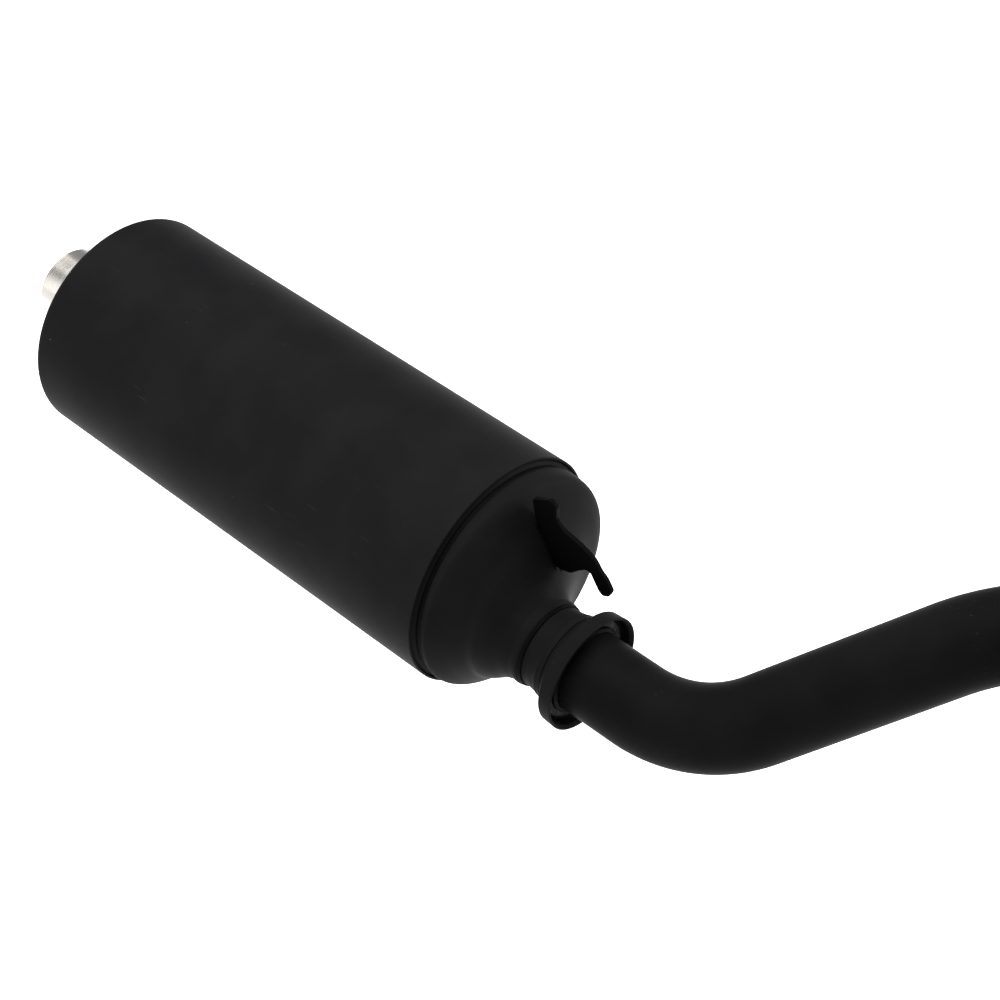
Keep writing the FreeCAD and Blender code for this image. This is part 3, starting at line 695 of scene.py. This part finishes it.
def bevelled_copy(node, name, width, body, slot_name):
    """A copy of a flat plate's node with its sharp edges rounded."""
    source = frame["nodes"][node]
    mesh = source.data.copy()
    mesh.name = name
    shaper = bmesh.new()
    shaper.from_mesh(mesh)
    bmesh.ops.remove_doubles(shaper, verts=shaper.verts, dist=1e-6)
    bmesh.ops.dissolve_limit(shaper, angle_limit=math.radians(1.0), verts=shaper.verts,
                             edges=shaper.edges)
    sharp = [edge for edge in shaper.edges
             if edge.is_manifold and edge.calc_face_angle() > math.radians(50)]
    bmesh.ops.bevel(shaper, geom=sharp, offset=width * MM, segments=3, profile=0.5,
                    affect="EDGES", clamp_overlap=True)
    for face in shaper.faces:
        face.smooth = True
    shaper.to_mesh(mesh)
    shaper.free()
    mesh.validate()
    piece = bpy.data.objects.new(name, mesh)
    bpy.context.scene.collection.objects.link(piece)
    weighted = piece.modifiers.new("flat_faces", "WEIGHTED_NORMAL")
    weighted.keep_sharp = False
    return settle(piece, node, body, slot_name)


def cone_top(along, side):
    """The height of the cone's outside at a place along and a side, in mm."""
    share = (along - SHOULDER) / (CONE_END - SHOULDER)
    middle, radius = cone_ring(min(max(share, 0.0), 1.0), 0.0)[1:3]
    return math.sqrt(max(radius ** 2 - (side - middle) ** 2, 0.0))


# The hook plate's outline: place before the inlet face, height and rounding, in mm.
HOOK_OUTLINE = [
    (26.2, 53.5, 0.5), (22.6, 72.4, 2.5), (36.2, 80.2, 3.0), (40.6, 77.0, 3.5),
    (40.9, 66.5, 6.0), (46.0, 62.6, 9.0), (59.5, 59.5, 18.0), (69.5, 55.2, 14.0),
    (74.4, 48.6, 8.0), (78.8, 45.4, 7.0), (83.4, 38.4, 3.0), (81.4, 33.6, 2.6),
    (76.8, 31.0, 3.0), (73.6, 33.6, 6.0), (67.2, 43.4, 4.0), (63.8, 43.2, 4.0),
    (58.4, 38.6, 14.0), (52.5, 32.5, 8.0), (45.5, 30.5, 4.0), (41.6, 30.6, 1.0),
    (37.5, 37.6, 6.0), (30.5, 49.0, 6.0)]
EDGE_ROUND = 0.45


def plate_mesh(name, outline, low, high):
    """An upright plate from an outline, with its edges rounded over."""
    points = [Vector((FACE + point.x, point.y)) for point in softened(outline)]
    count = len(points)
    turn_sign = sum(points[i - 1].cross(points[i]) for i in range(count))
    inward = []
    for index in range(count):
        along = points[(index + 1) % count] - points[index - 1]
        normal = Vector((-along.y, along.x)).normalized()
        inward.append(normal if turn_sign > 0 else -normal)
    mesh = bpy.data.meshes.new(name)
    shaper = bmesh.new()
    loops = []
    steps = 4
    for side, level in enumerate((low, high)):
        for step in range(steps + 1):
            turn = math.pi / 2 * (step / steps if side == 0 else 1 - step / steps)
            shrink = EDGE_ROUND * (1 - math.sin(turn))
            depth = EDGE_ROUND * (1 - math.cos(turn))
            across = level + (depth if side == 0 else -depth)
            loops.append([shaper.verts.new(Vector((
                (point + way * shrink).x, across, (point + way * shrink).y)) * MM)
                for point, way in zip(points, inward)])
    for loop, other in zip(loops, loops[1:]):
        for index in range(count):
            after = (index + 1) % count
            face = shaper.faces.new((loop[index], loop[after], other[after], other[index]))
            face.smooth = True
    shaper.faces.new(loops[0])
    shaper.faces.new(loops[-1])
    bmesh.ops.recalc_face_normals(shaper, faces=shaper.faces)
    return linked_piece(name, mesh, shaper)


def make_hook():
    """The hook plate and the fillet bead that runs round its foot."""
    plate = plate_mesh("hook", HOOK_OUTLINE, plate_low.y / MM, plate_high.y / MM)
    # The plate wears the near-black weld finish: painted shade for its face, which sits in shade next to the cone.
    settle(plate, "hook_plate", "muffler", "black_weld")
    middle = (plate_low.y + plate_high.y) / 2 / MM
    points = []
    outward = []
    near = plate_low.y / MM - 0.7
    far = plate_high.y / MM + 0.7
    start, end = 26.6, 43.0
    runs = [(start + (end - start) * (1 - step / 48), near) for step in range(49)]
    for step in range(1, 8):
        turn = math.pi * step / 8
        runs.append((start - 1.2 * math.sin(turn), middle - (middle - near) * math.cos(turn)))
    runs += [(start + (end - start) * step / 48, far) for step in range(49)]
    for along, side in runs:
        points.append(Vector((FACE + along, side, cone_top(along, side) - 0.3)))
        outward.append(Vector((0.55, 0, 0.83)))
    bead = bead_mesh("hook_bead", points, outward, 1.2, 2.0, False, 0.12)
    settle(bead, None, "muffler", "black_weld")


# ---------------------------------------------------------------- gasket, pipe and port

def make_gasket():
    """The donut with its ball face and the seat ring; the thin steel sleeve in it keeps the frame's own shape."""
    low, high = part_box("donut_gasket")
    back, front = low.x / MM, high.x / MM
    donut = turned("donut", [
        (back, 26.8, 0.3), (back, 28.3, 0.5), (back + 1.9, 30.3, 4.0),
        (back + 4.1, 32.4, 1.0), (front, 32.3, 1.2), (front, 26.8, 0.3)], 192, NECK)
    settle(donut, "donut_gasket", "gasket", "graphite")
    low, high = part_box("pipe_seat_ring")
    ring = turned("seat_ring", [
        (low.x / MM, 25.42, 0.2), (low.x / MM, 27.8, 0.5), (low.x / MM + 1.3, 27.8, 0.6),
        (high.x / MM, 25.42, 0.3)], 160, NECK)
    settle(ring, "pipe_seat_ring", "pipe", "black_weld")


# The head pipe's centre line: lengths in mm, headings and pitches in degrees.
PIPE_START = 82.0
PIPE_LEAD = 127.0
BEND_RADIUS = 90.0
RISING_RUN = 111.0
PORT_RUN = 80.0
RISING = (39.24, 34.74)
LEVEL = (42.85, 4.07)
PIPE_OUTSIDE = 25.4
PIPE_INSIDE = 23.9


def heading(azimuth, pitch):
    swing, lift = math.radians(azimuth), math.radians(pitch)
    return Vector((math.cos(lift) * math.cos(swing), math.cos(lift) * math.sin(swing),
                   math.sin(lift)))


def pipe_route():
    """Points and directions along the pipe: straight, bend, straight, bend, straight."""
    here = Vector((FACE + PIPE_START, NECK, 0))
    way = X_AXIS.copy()
    route = [(here, way)]
    runs = ((PIPE_LEAD - PIPE_START, heading(*RISING)), (RISING_RUN, heading(*LEVEL)))
    for run, after in runs:
        for step in range(1, 5):
            route.append((here + way * run * step / 4, way))
        here = here + way * run
        angle = way.angle(after)
        axis = way.cross(after).normalized()
        centre = here + axis.cross(way) * BEND_RADIUS
        steps = 40
        for step in range(1, steps + 1):
            turn = Matrix.Rotation(angle * step / steps, 3, axis)
            route.append((centre + turn @ (here - centre), turn @ way))
        here, way = route[-1]
    for step in range(1, 5):
        route.append((here + way * PORT_RUN * step / 4, way))
    return route


def make_pipe():
    """The bent tube as one smooth skin over its three runs."""
    mesh = bpy.data.meshes.new("bent_pipe")
    shaper = bmesh.new()
    segments = 128
    route = pipe_route()
    rings = [(spot, PIPE_OUTSIDE) for spot in route]
    rings += [(spot, PIPE_INSIDE) for spot in reversed(route)]
    loops = []
    across = Vector((0, 0, 1))
    for (here, way), radius in rings:
        across = (across - way * across.dot(way)).normalized()
        side = way.cross(across)
        loop = []
        for step in range(segments):
            angle = 2 * math.pi * step / segments
            out = across * math.cos(angle) + side * math.sin(angle)
            loop.append(shaper.verts.new((here + out * radius) * MM))
        loops.append(loop)
    join_loops(shaper, loops, len(loops))
    bmesh.ops.recalc_face_normals(shaper, faces=shaper.faces)
    ends = {len(route) - 1, len(loops) - 1}
    for index, face in enumerate(shaper.faces):
        face.smooth = index // segments not in ends
    piece = linked_piece("bent_pipe", mesh, shaper)
    settle(piece, None, "pipe", "black_pipe")
    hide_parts("lower_bend", "upper_bend", "port_tube")


def port_matrix():
    """The port's frame: its X axis out of the pipe, its Y axis level, in mm before scaling."""
    level = Vector((0, 0, 1)).cross(PORT_AXIS).normalized()
    up = PORT_AXIS.cross(level)
    turn = Matrix((PORT_AXIS, level, up)).transposed().to_4x4()
    return Matrix.Translation(PORT_PLACE) @ turn


def make_port():
    """The flared ferrule, its bead, the crush ring and the loose flange."""
    place = port_matrix()
    ferrule = turned("ferrule", [
        (-16, 25.42, 0.2), (-16, 28.0, 0.5), (-4, 28.0, 0.8), (-4, 31.5, 0.5), (0.5, 31.5, 0.5),
        (0.5, 25.42, 0.3)], 160, place=place)
    settle(ferrule, "port_ferrule", "pipe", "black_pipe")
    bead = ring_bead("ferrule_bead", -16.4, 26.0, 1.25, 2.1, lumps=0.16)
    bead.data.transform(place)
    settle(bead, "ferrule_weld", "pipe", "black_weld")
    crush = turned("crush_ring", [
        (0.6, 24.4, 0.9), (0.6, 31.0, 0.9), (2.0, 31.3, 0.3), (3.4, 31.0, 0.9), (3.4, 24.4, 0.9),
        (2.0, 24.1, 0.3)], 160, place=place)
    settle(crush, "port_gasket", "pipe", "copper")
    bevelled_copy("port_flange", "flange", 0.4, "flange", "flange_steel")


def make_filling():
    """The wool and the packing, lumpy and creased, inside the canister."""
    for node, name, slot_name, lump in (("steel_wool_wrap", "wool", "steel_wool", 0.25),
                                        ("fibre_packing", "packing", "glass_fibre", 0.5)):
        low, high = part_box(node)
        outer = (high.z - low.z) / 2 / MM
        inner = 25.7 if name == "wool" else 31.3
        chance = random.Random(name)
        waves = [(chance.uniform(0.05, 0.3), chance.randint(3, 24), chance.uniform(0, 6))
                 for _ in range(9)]

        def lumps(along, radius, angle):
            if radius < outer - 2:
                return 0.0
            total = sum(math.sin(pace * along + turns * angle + shift)
                        for pace, turns, shift in waves)
            return lump * (total / len(waves) - 0.6)

        start, end = low.x / MM, high.x / MM
        rings = [(start, 0, inner, 0), (start + 0.8, 0, outer - 1.4, 0)]
        steps = 90
        rings += [(start + 2 + (end - start - 4) * step / steps, 0, outer, 0)
                  for step in range(steps + 1)]
        rings += [(end - 0.8, 0, outer - 1.4, 0), (end, 0, inner, 0)]
        piece = rings_mesh(name, rings, 128, lumps)
        settle(piece, node, "muffler", slot_name)


def dress_frame():
    """Every node that keeps its own shape gets its slot's finish."""
    slots = {entry["node"]: entry["material_slot"] for entry in frame["record"]["subparts"]}
    for node in ("perforated_core", "front_baffle", "rear_baffle", "gasket_sleeve"):
        data = frame["nodes"][node].data
        data.materials.clear()
        data.materials.append(finish[slots[node]])


make_camera()
make_studio()
make_canister()
make_outlet()
make_cone()
make_neck()
make_hook()
make_gasket()
make_pipe()
make_port()
make_filling()
dress_frame()
